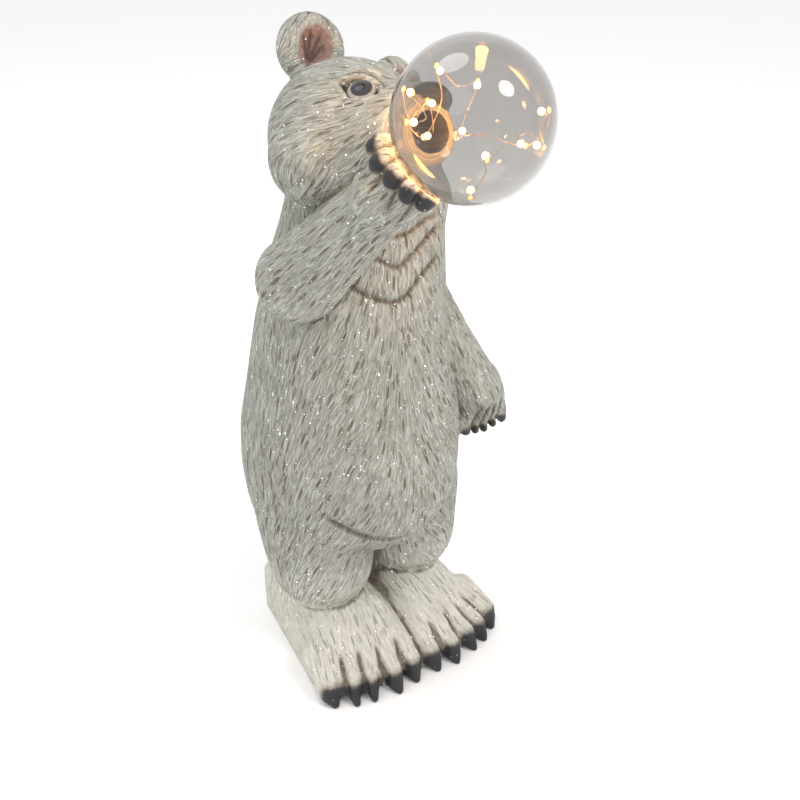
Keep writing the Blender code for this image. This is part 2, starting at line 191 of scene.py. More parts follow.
def limb(bm, start, start_radius, end, end_radius, flat=1.0, turn=None, step=0.4):
    """A row of balls from one place to another."""
    start, end = Vector(start), Vector(end)
    count = max(2, math.ceil((end - start).length / step) + 1)
    for i in range(count):
        t = i / (count - 1)
        radius = start_radius + (end_radius - start_radius) * t
        ball(bm, start.lerp(end, t), (radius, radius * flat, radius), turn)


def hull(bm, balls):
    """The convex form around some balls."""
    part = bmesh.new()
    for centre, radius in balls:
        ball(part, centre, (radius, radius, radius))
    bmesh.ops.convex_hull(part, input=part.verts, use_existing_faces=False)
    inside = [v for v in part.verts if not v.link_faces]
    bmesh.ops.delete(part, geom=inside, context="VERTS")
    keep = bpy.data.meshes.new("hull")
    part.to_mesh(keep)
    part.free()
    bm.from_mesh(keep)
    bpy.data.meshes.remove(keep)


def torso_forms(bm):
    for i in range(41):
        level = 11.0 + 20.0 * i / 40
        side, front, half_width, half_depth = (
            float(np.interp(level, TORSO_LEVELS, row)) for row in TORSO_SHAPE)
        ball(bm, (side, front, level), (half_width, half_depth, 3.6))
    ball(bm, (0.0, -0.8, 13.7), (5.4, 5.0, 6.2))
    ball(bm, (0.0, 3.9, 12.6), (5.4, 4.8, 5.8))
    ball(bm, (1.1, 0.0, 29.6), (4.0, 3.9, 3.2))
    for side in (RIGHT, LEFT):
        limb(bm, (side * 3.5, 0.9, 10.0), 3.7, (side * 3.3, 0.4, 6.5), 3.35)
        limb(bm, (side * 3.1, 3.2, 7.0), 2.9, (side * 3.0, 3.2, 3.0), 2.3)
    limb(bm, (0.0, 1.8, 9.0), 2.6, (0.0, 2.2, 3.0), 2.0)
    limb(bm, (0.0, 7.0, 10.8), 1.2, (0.0, 7.6, 9.8), 0.9)


def head_forms(bm):
    ball(bm, on_head(0, 0, 0), (4.3, 4.4, 4.1), HEAD_TURN)
    for side in (RIGHT, LEFT):
        ball(bm, on_head(0.6, -1.7, side * 1.9), (2.5, 2.8, 2.6), HEAD_TURN)
        ball(bm, on_head(2.5, 1.8, side * 1.2), (1.5, 1.5, 1.0), HEAD_TURN)
    limb(bm, on_head(2.6, -0.6, 0), 2.9, on_head(5.2, -0.6, 0), 2.15)
    limb(bm, on_head(3.2, 1.0, 0), 1.6, on_head(6.2, 0.55, 0), 1.25)
    limb(bm, on_head(2.2, -2.2, 0), 2.3, on_head(5.3, -1.9, 0), 1.4)


def shoulder_forms(bm):
    limb(bm, (-3.2, 0.8, 26.0), 2.3, (-4.2, -0.5, 26.5), 2.2)
    limb(bm, (2.6, 0.3, 25.2), 2.35, (3.5, -0.2, 23.2), 2.1)


def arm_forms(bm):
    limb(bm, (-3.6, 0.3, 26.2), 2.2, RIGHT_ELBOW, 2.34)
    limb(bm, RIGHT_ELBOW, 2.34, PAW_WRIST, 1.55)
    limb(bm, (2.9, 0.1, 24.4), 2.15, LEFT_ELBOW, 1.93)
    limb(bm, LEFT_ELBOW, 1.93, LEFT_WRIST, 1.78)


def foot_forms(bm, side):
    hull(bm, (
        ((side * 4.55, 5.2, -0.2), 0.65), ((side * 4.55, 5.2, 2.9), 0.65),
        ((side * 0.9, 5.2, -0.2), 0.65), ((side * 0.9, 5.2, 2.9), 0.65),
        ((side * 4.1, 1.5, 3.5), 1.0), ((side * 1.3, 1.5, 3.5), 1.0),
        ((side * 4.1, -1.6, 3.1), 1.0), ((side * 1.4, -1.9, 3.2), 1.0),
        ((side * 5.75, -3.4, -0.2), 0.75), ((side * 5.2, -3.3, 1.6), 0.8),
        ((side * 0.8, -5.3, -0.2), 0.7), ((side * 0.9, -4.9, 1.9), 0.75),
        ((side * 3.2, -4.8, 1.7), 0.85), ((side * 3.2, -5.2, -0.2), 0.85),
    ))
    for tip_side, tip_front in TOE_TIPS:
        root = (side * tip_side * 0.93, tip_front + 3.2, 1.65)
        pad = (side * tip_side * 0.985, tip_front + 1.15, 1.0)
        limb(bm, root, 1.0, pad, 0.88)


def both_feet(bm):
    foot_forms(bm, RIGHT)
    foot_forms(bm, LEFT)
    hull(bm, (
        ((-0.5, 4.9, -0.2), 0.5), ((0.5, 4.9, -0.2), 0.5),
        ((-0.5, 4.9, 2.7), 0.5), ((0.5, 4.9, 2.7), 0.5),
        ((-0.5, -5.6, -0.2), 0.5), ((0.5, -5.6, -0.2), 0.5),
        ((-0.5, -4.9, 1.75), 0.5), ((0.5, -4.9, 1.75), 0.5),
        ((-0.5, -1.7, 2.9), 0.7), ((0.5, -1.7, 2.9), 0.7),
    ))


def paw_forms(bm):
    centre = GLOBE_CENTRE / UNIT
    palm = PAW_WRIST.lerp(Vector(PAW_CLAWS[2]), 0.45)
    limb(bm, PAW_WRIST, 1.5, palm, 1.55)
    for claw in PAW_CLAWS:
        claw = Vector(claw)
        knuckle = PAW_WRIST.lerp(claw, 0.55)
        pad = claw + (centre - claw).normalized() * 0.4
        limb(bm, PAW_WRIST, 1.1, knuckle, 0.95)
        limb(bm, knuckle, 0.95, pad, 0.62)


def hand_forms(bm):
    limb(bm, (7.2, -1.7, 16.8), 1.85, (HAND_SIDE, -1.85, 16.0), 1.85, flat=0.75)
    for share in FINGER_SHARES:
        limb(bm, (HAND_SIDE + share * 2.4, -2.0, 15.6), 0.66,
             (HAND_SIDE + share * 2.9, -2.15, 14.45 + 0.5 * abs(share)), 0.56)


def ear_forms(bm):
    for side in (RIGHT, LEFT):
        turn = HEAD_TURN @ Matrix.Rotation(math.radians(side * EAR_TURN), 3, "Z")
        ball(bm, on_head(-1.45, 4.15, side * 2.7), (1.85, 0.95, 1.95), turn)


def face_forms(bm):
    lips = MOUTH_CENTRE / UNIT
    across = AXIS.cross(UP).normalized()
    over = across.cross(AXIS)
    for i in range(36):
        angle = i / 36 * math.tau
        spoke = across * math.cos(angle) + over * math.sin(angle)
        ball(bm, lips - AXIS * 0.3 + spoke * 1.2, (0.38, 0.38, 0.38))
    limb(bm, on_head(4.9, -0.7, 0), 1.9, lips - AXIS * 1.0, 1.6)
    ball(bm, on_head(*NOSE), (0.98, 0.7, 0.62), HEAD_TURN)
    for side in (RIGHT, LEFT):
        centre, out, along, _ = eye_frame(side)
        ball(bm, centre - out * 0.62, (0.92, 0.92, 0.92))
        ball(bm, centre - out * 0.75 - along * 0.75, (0.7, 0.7, 0.7))


def claw_forms(bm):
    for side in (RIGHT, LEFT):
        for tip_side, tip_front in TOE_TIPS:
            limb(bm, (side * tip_side, tip_front + 0.85, 0.62), 0.66,
                 (side * tip_side, tip_front + 0.22, 0.12), 0.24, step=0.1)
    for claw in PAW_CLAWS:
        outward = (Vector(claw) - PAW_WRIST).normalized()
        ball(bm, Vector(claw) + outward * 0.08, (0.42, 0.42, 0.42))
    for share in FINGER_SHARES:
        ball(bm, (HAND_SIDE + share * 2.9, -2.4, 14.1 + 0.5 * abs(share)),
             (0.36, 0.4, 0.42))


def evaluated(body):
    """The mesh that an object's modifiers make; the object goes."""
    bpy.context.view_layer.update()
    made = bpy.data.meshes.new_from_object(
        body.evaluated_get(bpy.context.evaluated_depsgraph_get()))
    bpy.data.objects.remove(body, do_unlink=True)
    return made


def loose(mesh):
    body = bpy.data.objects.new("rough", mesh)
    bpy.context.scene.collection.objects.link(body)
    return body


def merged(previous, builders, blend, grain):
    """One closed skin round the last stage and some new forms."""
    bm = bmesh.new()
    if previous is not None:
        bm.from_mesh(previous)
    for build in builders:
        build(bm)
    rough = bpy.data.meshes.new("rough")
    bm.to_mesh(rough)
    bm.free()
    body = loose(rough)
    remesh = body.modifiers.new("One skin", "REMESH")
    remesh.mode = "VOXEL"
    remesh.voxel_size = grain
    smooth = body.modifiers.new("Blend", "SMOOTH")
    smooth.factor = 0.5
    smooth.iterations = max(1, round((blend / grain) ** 2))
    return evaluated(body)


# Fields on the skin.
def smoothstep(low, high, value):
    t = np.clip((value - low) / (high - low), 0.0, 1.0)
    return t * t * (3.0 - 2.0 * t)


def groove(distance, width):
    return np.exp(-(distance / width) ** 2)


def segment_distance(points, start, end):
    """Distance from a segment, and where along it the nearest place is."""
    start, end = np.asarray(start, float), np.asarray(end, float)
    along = end - start
    t = np.clip((points - start) @ along / (along @ along), 0.0, 1.0)
    return np.linalg.norm(points - start - t[:, None] * along, axis=1), t


def local(points, centre, *axes):
    rel = points - np.array(centre)
    return [rel @ np.array(a) for a in axes]


def wobble(points, scale, seed):
    """A smooth random field between -1 and 1."""
    rng = np.random.default_rng(seed)
    total = np.zeros(len(points))
    for _ in range(7):
        wave = rng.normal(size=3)
        wave *= scale * rng.uniform(0.6, 1.5) / np.linalg.norm(wave)
        total += np.sin(points @ wave + rng.uniform(0, math.tau))
    return total / 4.0


def claw_mask(figure):
    """Claws of the feet, the raised paw and the left hand."""
    mask = np.zeros(len(figure))
    for side in (RIGHT, LEFT):
        for tip_side, tip_front in TOE_TIPS:
            d, _ = segment_distance(figure, (side * tip_side, tip_front + 0.75, 0.50),
                                    (side * tip_side, tip_front + 0.22, 0.05))
            mask = np.maximum(mask, smoothstep(0.95, 0.5, d))
            low = smoothstep(2.1, 0.95, figure[:, 2])
            near = smoothstep(1.5, 0.6, np.hypot(figure[:, 0] - side * tip_side,
                                                 figure[:, 1] - tip_front - 0.1))
            mask = np.maximum(mask, low * near)
    for claw in PAW_CLAWS:
        outward = (Vector(claw) - PAW_WRIST).normalized()
        d = np.linalg.norm(figure - np.array(Vector(claw) + outward * 0.16), axis=1)
        mask = np.maximum(mask, smoothstep(0.66, 0.36, d))
    for share in FINGER_SHARES:
        claw = np.array((HAND_SIDE + share * 2.9, -2.55, 14.0 + 0.5 * abs(share)))
        d = np.linalg.norm(figure - claw, axis=1)
        mask = np.maximum(mask, 0.8 * smoothstep(0.66, 0.28, d))
    return mask


def mouth_shade_mask(figure):
    """Painted shade: the dark inside of the mouth's bore."""
    rel = figure - np.array(MOUTH_CENTRE / UNIT)
    along = rel @ np.array(AXIS)
    ring = np.sqrt(np.maximum((rel ** 2).sum(1) - along ** 2, 0.0))
    return smoothstep(1.04, 0.96, ring) * smoothstep(0.6, 0.3, along) * (along > -2.0)


def nose_mask(figure):
    s, f, u = local(figure, on_head(*NOSE), SIDE, FORWARD, UP)
    r = np.sqrt((s / 1.08) ** 2 + (f / 0.86) ** 2 + (u / 0.72) ** 2)
    return smoothstep(1.12, 1.0, r) * smoothstep(-0.75, -0.45, f)


def ear_fields(figure, normals):
    """The hollow of each ear, and the veins in it."""
    hollow = np.zeros(len(figure))
    veins = np.zeros(len(figure))
    for side in (RIGHT, LEFT):
        turn = np.array(HEAD_TURN @ Matrix.Rotation(math.radians(side * EAR_TURN), 3, "Z"))
        middle = np.array(on_head(-1.45, 4.25, side * 2.7))
        at = (figure - middle) @ turn
        ring = np.hypot((at[:, 0] + side * 0.15) / 1.25, (at[:, 2] + 0.15) / 1.62)
        facing = smoothstep(0.0, 0.45, -(normals @ turn)[:, 1])
        close = smoothstep(2.3, 1.9, np.linalg.norm(at, axis=1))
        hollow = np.maximum(hollow, smoothstep(1.05, 0.25, ring) * facing * close)
        for lean in (-0.55, -0.2, 0.2, 0.55):
            line = lean * (at[:, 2] + 1.1) * 0.8
            cut = groove(at[:, 0] - line, 0.14) * smoothstep(-1.3, -0.8, at[:, 2])
            cut = cut * smoothstep(1.1 - abs(lean), 0.5 - abs(lean), at[:, 2])
            veins = np.maximum(veins, cut * facing * close * smoothstep(0.95, 0.6, ring))
    return hollow, veins


def eye_fields(figure):
    """Opening, lid ridges and creases of both eyes."""
    count = len(figure)
    opening, ridge, crease = np.zeros(count), np.zeros(count), np.zeros(count)
    for side in (RIGHT, LEFT):
        centre, out, along, rise = eye_frame(side)
        a, b, c = local(figure, centre, along, rise, out)
        near = smoothstep(1.0, 0.6, np.abs(c))
        span = np.clip(1.0 - (a / 1.16) ** 2, 0.0, 1.0)
        upper, lower = 0.66 * span ** 0.7, -0.50 * span ** 0.8
        inside = smoothstep(0.02, 0.12, upper - b) * smoothstep(0.02, 0.12, b - lower)
        opening = np.maximum(opening, inside * near * (span > 0))
        ends = smoothstep(1.60, 1.15, np.abs(a))
        wide = np.clip(1.0 - (a / 1.48) ** 2, 0.0, 1.0)
        top, low = 0.86 * wide ** 0.8, -0.68 * wide
        ridge = np.maximum(ridge, near * ends * np.maximum(groove(b - top, 0.13),
                                                           0.7 * groove(b - low, 0.12)))
        over, under = 1.10 * wide ** 0.8, -0.90 * wide
        crease = np.maximum(crease, near * ends * np.maximum(
            groove(b - over, 0.09), np.maximum(0.5 * groove(b - under, 0.09),
                                               0.7 * groove(b - upper, 0.07))))
    return opening, ridge, crease


def line_fields(figure, normals):
    """Depth of the large carved lines, and how much brown they hold, as wash and as painted
    shade.
    """
    x, y, z = figure.T
    count = len(figure)
    front = smoothstep(0.1, 0.5, -normals[:, 1])
    depth, wash = np.zeros(count), np.zeros(count)

    def add(cut, deep, brown):
        nonlocal depth, wash
        depth = np.maximum(depth, deep * cut)
        wash = np.maximum(wash, brown * cut)

    for middle, level, dip, half in ((-0.2, 29.45, 0.55, 2.6), (-0.3, 28.6, 1.35, 2.9),
                                     (-0.55, 27.0, 2.0, 3.1)):
        reach = np.sqrt((x - middle) ** 2 + 0.16)
        line = level - dip * (1.0 - reach / half) + 0.16 * wobble(figure, 2.6, 5)
        inside = smoothstep(half + 0.6, half - 0.3, np.abs(x - middle))
        drop = (z - line) / math.hypot(1.0, dip / half)
        cut = np.where(drop < 0, groove(drop, 0.10), groove(drop, 0.30)) * inside * front
        add(cut, 0.22, 0.8)
    # Painted shade along the hem, where the legs meet the feet.
    for side in (RIGHT, LEFT):
        around = np.hypot(x - side * 3.25, y - 0.6)
        hem = 4.75 + 0.12 * (x * side - 3.0) ** 2 / 2 + 0.05 * (y + 2.4)
        near = smoothstep(4.6, 3.6, around) * smoothstep(2.4, 0.5, y)
        wash = np.maximum(wash, 0.42 * groove(z - hem, 0.55) * near)
    belly = 9.8 + np.where(x < 0.0, 0.10, 0.20) * x * x
    near = smoothstep(0.5, -2.0, y) * smoothstep(5.6, 4.4, np.abs(x))
    drop = z - belly
    cut = np.where(drop < 0, groove(drop, 0.13), groove(drop, 0.42))
    add(cut * near * smoothstep(2.2, -2.0, x), 0.28, 0.6)
    # Painted shade in the hollow between the legs.
    between = groove(x, 0.45) * smoothstep(2.8, 3.6, z) * smoothstep(8.9, 8.0, z)
    wash = np.maximum(wash, between * smoothstep(1.0, 0.0, y))
    plan = figure[:, :2]
    low = smoothstep(3.6, 3.0, z)
    for side in (RIGHT, LEFT):
        for outer, inner in zip(TOE_TIPS, TOE_TIPS[1:]):
            tip = (side * (outer[0] + inner[0]) / 2, (outer[1] + inner[1]) / 2 + 0.1)
            root = (tip[0] * 0.84, tip[1] + 2.4)
            distance, t = segment_distance(plan, root, tip)
            cut = groove(distance, 0.13 + 0.11 * t) * smoothstep(0.0, 0.3, t) * low
            add(cut, 0.36, 1.0)
    distance, t = segment_distance(plan, (0.0, -0.8), (0.0, -7.0))
    cut = groove(distance, 0.13) * smoothstep(0.0, 0.2, t) * smoothstep(4.6, 3.8, z)
    add(cut, 0.30, 0.95)
    for first, second in zip(PAW_CLAWS, PAW_CLAWS[1:]):
        tip = (Vector(first) + Vector(second)) / 2
        root = PAW_WRIST.lerp(tip, 0.55)
        distance, _ = segment_distance(figure, root, tip + (tip - root) * 0.3)
        cut = np.exp(-(np.maximum(distance - 0.5, 0.0) / 0.5) ** 2)
        plane = (Vector(second) - Vector(first)).normalized()
        off = np.abs((figure - np.array(tip)) @ np.array(plane))
        add(cut * groove(off, 0.12), 0.2, 0.9)
    for i in range(4):
        share = (i + 0.5) / 4 - 0.5
        distance, t = segment_distance(figure[:, (0, 2)],
                                       (HAND_SIDE + share * 2.1, 16.4),
                                       (HAND_SIDE + share * 3.0, 13.6))
        near = smoothstep(-0.6, -1.2, y)
        add(groove(distance, 0.16) * smoothstep(0.0, 0.3, t) * near, 0.3, 1.0)
    # Fine rings in the lips around the globe's neck.
    rel = figure - np.array(MOUTH_CENTRE / UNIT)
    along = rel @ np.array(AXIS)
    ring = np.sqrt(np.maximum((rel ** 2).sum(1) - along ** 2, 0.0))
    near = smoothstep(2.2, 1.8, ring) * smoothstep(-1.6, -1.1, along) * (along < 0.9)
    for radius in (1.22, 1.42, 1.62, 1.82):
        add(groove(ring - radius, 0.05) * near, 0.05, 0.4)
    return depth, wash


def fur_direction(figure, normals):
    """The way the fur lies, along the skin."""
    x, y, z = figure.T
    front = smoothstep(-0.2, 0.5, -normals[:, 1])
    middle = -0.35
    spread = np.clip((x - middle) / 3.2, -1.0, 1.0) * front * 0.62
    way = np.stack([spread, np.zeros_like(x), -np.ones_like(x)], axis=1)
    s, f, u = local(figure, HEAD_CENTRE, SIDE, FORWARD, UP)
    head = smoothstep(6.2, 5.0, np.sqrt(s ** 2 + (f * 0.66) ** 2 + u ** 2))
    head = head * smoothstep(-3.4, -2.4, u)
    back = -np.array(FORWARD) - 0.35 * np.array(UP)
    way = way * (1 - head[:, None]) + back * head[:, None]
    elbow = np.array((-5.15, -1.8, 27.1))
    wrist = np.array(PAW_WRIST)
    d, _ = segment_distance(figure, elbow, wrist + (wrist - elbow) * 0.5)
    arm = smoothstep(3.2, 2.5, d) * (1 - smoothstep(-0.3, 0.6, y))
    along = (elbow - wrist) / np.linalg.norm(elbow - wrist)
    way = way * (1 - arm[:, None]) + along[None] * arm[:, None]
    d, _ = segment_distance(figure, (2.6, 0.3, 25.2), (7.4, -1.8, 14.6))
    arm = smoothstep(2.7, 2.2, d) * smoothstep(1.2, 0.2, y) * smoothstep(1.8, 3.2, x)
    way = way * (1 - arm[:, None]) + np.array((0.4, -0.1, -0.9))[None] * arm[:, None]
    foot = smoothstep(5.0, 4.0, z) * smoothstep(2.4, 0.4, y)
    ahead = np.stack([x * 0.06, -np.ones_like(x), -0.25 * np.ones_like(x)], axis=1)
    way = way * (1 - foot[:, None]) + ahead * foot[:, None]
    way = way - normals * (way * normals).sum(1)[:, None]
    return way / (np.linalg.norm(way, axis=1)[:, None] + 1e-9)


def mesh_arrays(mesh):
    """A mesh's vertices and vertex normals."""
    count = len(mesh.vertices)
    points = np.empty(count * 3)
    mesh.vertices.foreach_get("co", points)
    normals = np.empty(count * 3)
    mesh.vertex_normals.foreach_get("vector", normals)
    return points.reshape(-1, 3), normals.reshape(-1, 3)


def fur_strokes(mesh, points, normals, bare):
    """Short tapered cuts along the fur, as a depth and a wash for each point."""
    rng = np.random.default_rng(41)
    figure = points / UNIT
    way = fur_direction(figure, normals)
    tree = kdtree.KDTree(len(points))
    for i, p in enumerate(points):
        tree.insert(p, i)
    tree.balance()
    depth, wash = np.zeros(len(points)), np.zeros(len(points))
    taken = set()
    for i in rng.permutation(len(points)):
        if bare[i] > 0.3:
            continue
        cell = tuple(np.floor(points[i] / STROKE_CELL).astype(int))
        if cell in taken:
            continue
        taken.add(cell)
        if rng.random() < STROKES_SKIPPED:
            continue
        fine = figure[i, 2] > 31.0 or figure[i, 2] < 4.4
        length = rng.uniform(*STROKE_LENGTH) * (0.8 if fine else 1.0)
        width = rng.uniform(*STROKE_WIDTH) * (0.9 if fine else 1.0)
        turn = rng.normal(0.0, 0.16)
        along = way[i] * math.cos(turn) + np.cross(normals[i], way[i]) * math.sin(turn)
        across = np.cross(normals[i], along)
        deep = rng.uniform(0.5, 1.0)
        brown = rng.uniform(0.15, 1.0) * (0.72 if fine else 1.0)
        bend = rng.normal(0.0, 0.05)
        found = tree.find_range(points[i], length * 0.62)
        near = np.fromiter((f[1] for f in found), int, len(found))
        rel = points[near] - points[i]
        a = rel @ along / (length * 0.5)
        b = rel @ across - bend * length * (a * a)
        body = np.clip(1.0 - a * a, 0.0, 1.0)
        lean = np.where(a > 0, 1.0, 0.75)
        cut = np.exp(-(b / (width * (0.35 + 0.65 * body) * lean)) ** 2) * body ** 0.7
        depth[near] = np.maximum(depth[near], deep * cut)
        wash[near] = np.maximum(wash[near], brown * cut)
    return depth, wash


def smoothed(mesh, values, rounds):
    """Vectors on the skin, averaged with their neighbours so many times."""
    edges = np.empty(len(mesh.edges) * 2, dtype=np.int64)
    mesh.edges.foreach_get("vertices", edges)
    first, second = edges.reshape(-1, 2).T
    count = len(values)
    degree = np.maximum(np.bincount(edges, minlength=count), 1)
    smooth = values.copy()
    for _ in range(rounds):
        total = np.empty_like(smooth)
        for axis in range(3):
            total[:, axis] = (np.bincount(first, smooth[second, axis], count)
                              + np.bincount(second, smooth[first, axis], count))
        smooth = 0.5 * smooth + 0.5 * total / degree[:, None]
    return smooth


def store(mesh, name, kind, values):
    """Keep a value for each vertex, for the material to read."""
    layer = mesh.attributes.new(name, kind, "POINT")
    key = "vector" if kind == "FLOAT_VECTOR" else "value"
    layer.data.foreach_set(key, np.asarray(values, dtype=np.float32).ravel())


def carve(skin):
    """Cut the lines, hollows and fur strokes into the skin."""
    points, normals = mesh_arrays(skin)
    figure = points / UNIT
    depth, _ = line_fields(figure, normals)
    hollow, veins = ear_fields(figure, normals)
    opening, ridge, crease = eye_fields(figure)
    claws, nose = claw_mask(figure), nose_mask(figure)
    lips = np.linalg.norm(figure - np.array(MOUTH_CENTRE / UNIT), axis=1)
    rings = smoothstep(2.0, 1.7, lips)
    globe_gap = np.linalg.norm(points - np.array(GLOBE_CENTRE), axis=1) - GLOBE_RADIUS
    palm = smoothstep(0.005, 0.002, globe_gap) * (1 - rings)
    near_eye = np.maximum(opening, np.maximum(ridge, crease))
    bare = np.maximum.reduce([claws, nose, smoothstep(0.1, 0.4, hollow), rings, palm,
                              near_eye, smoothstep(0.35, 0.15, figure[:, 2]),
                              depth / 0.3])
    cut, brown = fur_strokes(skin, points, normals, bare)
    soft = 1.0 - smoothstep(0.2, 0.9, bare)
    total = (depth + 0.62 * hollow + 0.07 * veins + 0.05 * crease - 0.09 * ridge
             + 0.42 * opening) * UNIT + STROKE_DEPTH * cut * soft
    lumps = wobble(figure, 2.0, 3) * LUMP_DEPTH
    points = points - normals * (total + lumps * soft)[:, None]
    seat = GLOBE_RADIUS + FIT_GAP * 1.3
    out = points - np.array(GLOBE_CENTRE)
    far = np.linalg.norm(out, axis=1)
    inside = far < seat
    points[inside] = np.array(GLOBE_CENTRE) + out[inside] * (seat / far[inside])[:, None]
    points[:, 2] = np.maximum(points[:, 2], 0.0)
    skin.vertices.foreach_set("co", points.ravel())
    store(skin, "stroke", "FLOAT", brown * soft)
    skin.update()


def faceted(skin):
    """The skin with fewer triangles and the mouth's bore cut into it."""
    body = loose(skin)
    thin = body.modifiers.new("Facets", "DECIMATE")
    skin.calc_loop_triangles()
    thin.ratio = min(1.0, SKIN_TRIANGLES / len(skin.loop_triangles))
    thin.use_collapse_triangulate = True
    bore = bmesh.new()
    turn = AXIS.to_track_quat("Z", "Y").to_matrix().to_4x4()
    start, end = MOUTH_CENTRE - AXIS * BORE_DEPTH, MOUTH_CENTRE + AXIS * 0.02
    bmesh.ops.create_cone(bore, cap_ends=True, segments=64, radius1=NECK_RADIUS + FIT_GAP,
                          radius2=NECK_RADIUS + FIT_GAP, depth=(end - start).length,
                          matrix=Matrix.Translation((start + end) / 2) @ turn)
    bore_mesh = bpy.data.meshes.new("mouth_bore")
    bore.to_mesh(bore_mesh)
    bore.free()
    cutter = loose(bore_mesh)
    step = body.modifiers.new("Mouth", "BOOLEAN")
    step.operation = "DIFFERENCE"
    step.solver = "EXACT"
    step.object = cutter
    made = evaluated(body)
    bpy.data.objects.remove(cutter, do_unlink=True)
    return made


def keep_paint(skin):
    """Store where each paint goes and how the fur lies."""
    points, normals = mesh_arrays(skin)
    figure = points / UNIT
    _, wash = line_fields(figure, normals)
    hollow, veins = ear_fields(figure, normals)
    opening, _, crease = eye_fields(figure)
    # Hollows and rises, from how far each point lies below its smoothed neighbours.
    deep = ((smoothed(skin, points, 60) - points) * normals).sum(1)
    calm = smoothed(skin, normals, 40)
    calm = calm / (np.linalg.norm(calm, axis=1)[:, None] + 1e-9)
    # Painted shade in the hollows, added to the brown wash.
    wash = np.maximum(wash, 0.75 * smoothstep(0.0005, 0.0016, deep))
    store(skin, "wash", "FLOAT", np.clip(np.maximum(wash, 0.9 * crease), 0, 1))
    # Painted light: the rises of the skin get a paler cream.
    store(skin, "raised", "FLOAT", smoothstep(-0.0001, -0.0009, deep))
    # Black paint on the claws and nose, and painted shade in the mouth's bore.
    painted = claw_mask(figure) + nose_mask(figure) + mouth_shade_mask(figure)
    store(skin, "dark", "FLOAT", np.clip(painted, 0, 1))
    store(skin, "ear", "FLOAT", hollow)
    # Ear veins, and painted shade in the eye openings round the eyeballs.
    store(skin, "vein_and_eye_shade", "FLOAT", np.maximum(veins, 0.75 * opening))
    warm = 0.5 * smoothstep(9.0, 4.6, figure[:, 2]) + 0.5 * smoothstep(5.4, 3.6, figure[:, 2])
    store(skin, "warm", "FLOAT", warm)
    hair = fur_direction(figure, calm)
    store(skin, "hair", "FLOAT_VECTOR", hair)
    store(skin, "across", "FLOAT_VECTOR", np.cross(hair, calm))
    bald = np.maximum.reduce([claw_mask(figure), nose_mask(figure), hollow, opening])
    lips = np.linalg.norm(figure - np.array(MOUTH_CENTRE / UNIT), axis=1)
    bald = np.maximum(bald, smoothstep(2.3, 1.9, lips))
    store(skin, "fur", "FLOAT", 1.0 - np.clip(1.5 * bald, 0, 1))


def shade_smooth(mesh):
    mesh.polygons.foreach_set("use_smooth", np.ones(len(mesh.polygons), dtype=bool))


def sculpt():
    skin = merged(None, (torso_forms, head_forms, shoulder_forms), BODY_BLEND, BODY_GRAIN)
    limbs = (arm_forms, both_feet, paw_forms, hand_forms, ear_forms)
    skin = merged(skin, limbs, LIMB_BLEND, LIMB_GRAIN)
    skin = merged(skin, (face_forms, claw_forms), DETAIL_BLEND, FINE_GRAIN)
    carve(skin)
    skin = faceted(skin)
    keep_paint(skin)
    shade_smooth(skin)
    skin.name = "bear_skin"
    return skin


# Materials.
class Net:
    """A small helper to write a node tree."""

    def __init__(self, name):
        self.material = bpy.data.materials.new(name)
        self.material.use_nodes = True
        self.tree = self.material.node_tree
        self.shader = self.tree.nodes["Principled BSDF"]

    def node(self, kind, **values):
        made = self.tree.nodes.new(kind)
        for key, value in values.items():
            setattr(made, key, value)
        return made

    def feed(self, socket, value):
        if isinstance(value, bpy.types.NodeSocket):
            self.tree.links.new(value, socket)
        else:
            socket.default_value = value

    def math(self, operation, a, b=0.0):
        made = self.node("ShaderNodeMath", operation=operation)
        self.feed(made.inputs[0], a)
        self.feed(made.inputs[1], b)
        return made.outputs[0]

    def times(self, a, b):
        return self.math("MULTIPLY", a, b)

    def vector(self, operation, a, b=(0, 0, 0)):
        made = self.node("ShaderNodeVectorMath", operation=operation)
        self.feed(made.inputs[0], a)
        self.feed(made.inputs[1], b)
        gives_number = operation in ("DOT_PRODUCT", "LENGTH")
        return made.outputs["Value" if gives_number else "Vector"]

    def mix(self, amount, a, b):
        made = self.node("ShaderNodeMix", data_type="RGBA")
        self.feed(made.inputs[0], amount)
        self.feed(made.inputs[6], a)
        self.feed(made.inputs[7], b)
        return made.outputs[2]

    def remap(self, value, low, high, out_low=0.0, out_high=1.0):
        made = self.node("ShaderNodeMapRange", interpolation_type="SMOOTHSTEP")
        for i, item in enumerate((value, low, high, out_low, out_high)):
            self.feed(made.inputs[i], item)
        return made.outputs[0]

    def noise(self, where, scale, detail=3.0, rough=0.55):
        made = self.node("ShaderNodeTexNoise")
        self.feed(made.inputs["Vector"], where)
        made.inputs["Scale"].default_value = scale
        made.inputs["Detail"].default_value = detail
        made.inputs["Roughness"].default_value = rough
        return made.outputs["Fac"]

    def cells(self, where, scale):
        made = self.node("ShaderNodeTexVoronoi")
        self.feed(made.inputs["Vector"], where)
        made.inputs["Scale"].default_value = scale
        return made

    def attribute(self, name, vector=False):
        made = self.node("ShaderNodeAttribute", attribute_name=name)
        return made.outputs["Vector"] if vector else made.outputs["Fac"]

    def place(self):
        return self.node("ShaderNodeTexCoord").outputs["Object"]

    def bump(self, height, distance, strength=1.0):
        made = self.node("ShaderNodeBump")
        made.inputs["Strength"].default_value = strength
        made.inputs["Distance"].default_value = distance
        self.feed(made.inputs["Height"], height)
        return made.outputs["Normal"]


def tuft_frame(net, place, hair, across, tuft):
    """Place along and across the fur from the middle of each tuft."""
    cell = net.cells(place, 1.0 / tuft)
    rel = net.vector("SUBTRACT", place, cell.outputs["Position"])
    parts = net.node("ShaderNodeSeparateColor")
    net.feed(parts.inputs[0], cell.outputs["Color"])
    return net.vector("DOT_PRODUCT", rel, hair), net.vector("DOT_PRODUCT", rel, across), parts


